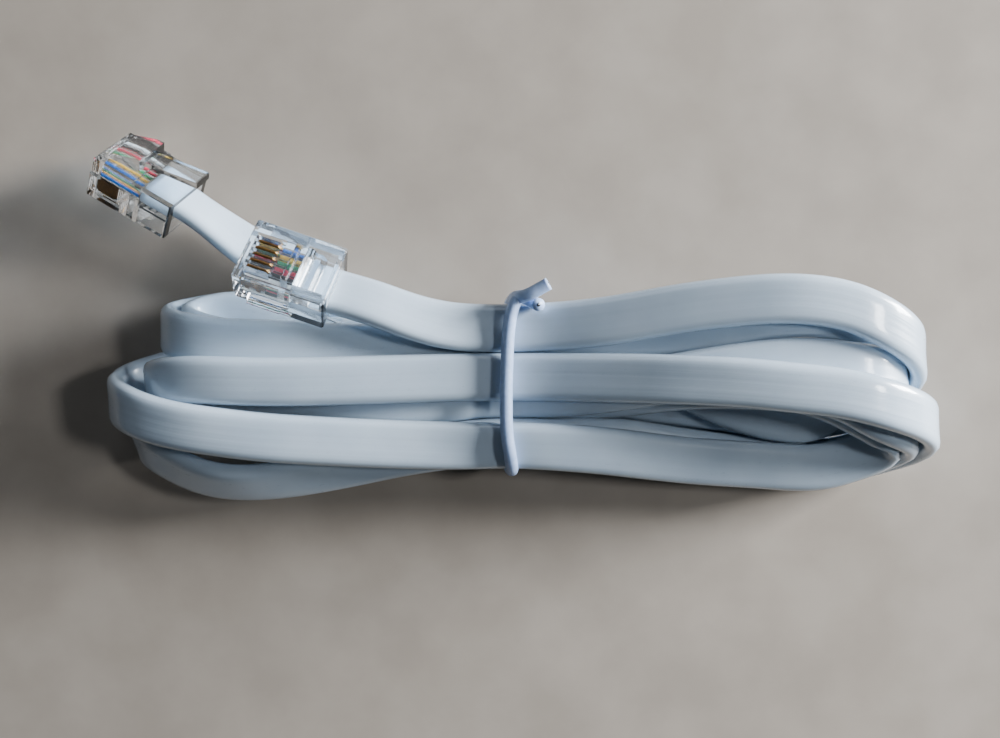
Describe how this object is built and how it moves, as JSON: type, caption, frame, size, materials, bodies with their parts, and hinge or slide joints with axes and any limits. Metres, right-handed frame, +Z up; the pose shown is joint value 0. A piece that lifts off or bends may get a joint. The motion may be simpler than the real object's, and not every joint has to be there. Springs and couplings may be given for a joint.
{
  "type": "modular telephone line cord",
  "caption": "Flat multi-core telephone line cord wound into a hank and tied, with a clear modular plug with a latch on each end.",
  "frame": {"origin": "on the floor, under the middle of the box of the whole part", "axes": "+X along the hank, away from the plugs; +Y from the hank towards the plugs; +Z up from the floor"},
  "size_m": [0.1211, 0.0518, 0.0193],
  "materials": {
    "jacket_pvc": "extruded flexible PVC, cool white, satin gloss",
    "clear_polycarbonate": "moulded clear polycarbonate",
    "gilt_contact": "stamped phosphor bronze with a gold flash",
    "tie_pvc": "extruded PVC, bluish white",
    "tie_steel": "drawn and annealed steel wire",
    "wire_white": "extruded insulation",
    "wire_black": "extruded insulation",
    "wire_red": "extruded insulation",
    "wire_green": "extruded insulation",
    "wire_yellow": "extruded insulation",
    "wire_blue": "extruded insulation"
  },
  "bodies": {
    "cord": {"cable_hank": "jacket_pvc", "lead_a": "jacket_pvc", "lead_b": "jacket_pvc", "tie_sleeve": "tie_pvc", "tie_core": "tie_steel", "plug_a_housing": "clear_polycarbonate", "plug_a_jacket_clamp": "clear_polycarbonate", "plug_a_wire_clamp": "clear_polycarbonate", "plug_a_contact_1": "gilt_contact", "plug_a_contact_2": "gilt_contact", "plug_a_contact_3": "gilt_contact", "plug_a_contact_4": "gilt_contact", "plug_a_contact_5": "gilt_contact", "plug_a_contact_6": "gilt_contact", "plug_a_wire_1": "wire_blue", "plug_a_wire_2": "wire_yellow", "plug_a_wire_3": "wire_green", "plug_a_wire_4": "wire_red", "plug_a_wire_5": "wire_black", "plug_a_wire_6": "wire_white", "plug_b_housing": "clear_polycarbonate", "plug_b_jacket_clamp": "clear_polycarbonate", "plug_b_wire_clamp": "clear_polycarbonate", "plug_b_contact_1": "gilt_contact", "plug_b_contact_2": "gilt_contact", "plug_b_contact_3": "gilt_contact", "plug_b_contact_4": "gilt_contact", "plug_b_contact_5": "gilt_contact", "plug_b_contact_6": "gilt_contact", "plug_b_wire_1": "wire_blue", "plug_b_wire_2": "wire_yellow", "plug_b_wire_3": "wire_green", "plug_b_wire_4": "wire_red", "plug_b_wire_5": "wire_black", "plug_b_wire_6": "wire_white"},
    "latch_a": {"plug_a_latch": "clear_polycarbonate"},
    "latch_b": {"plug_b_latch": "clear_polycarbonate"}
  },
  "joints": [
    {"name": "latch_a_press", "type": "hinge", "parent": "cord", "child": "latch_a", "pos_m": [-0.03545, 0.00471, 0.01115], "axis": [-0.2816, -0.8368, 0.4695], "range_deg": [0, 7], "stiffness_Nm_per_rad": 0.05},
    {"name": "latch_b_press", "type": "hinge", "parent": "cord", "child": "latch_b", "pos_m": [-0.05552, 0.02317, 0.00821], "axis": [0.3396, 0.5765, -0.7431], "range_deg": [0, 7], "stiffness_Nm_per_rad": 0.05}
  ]
}
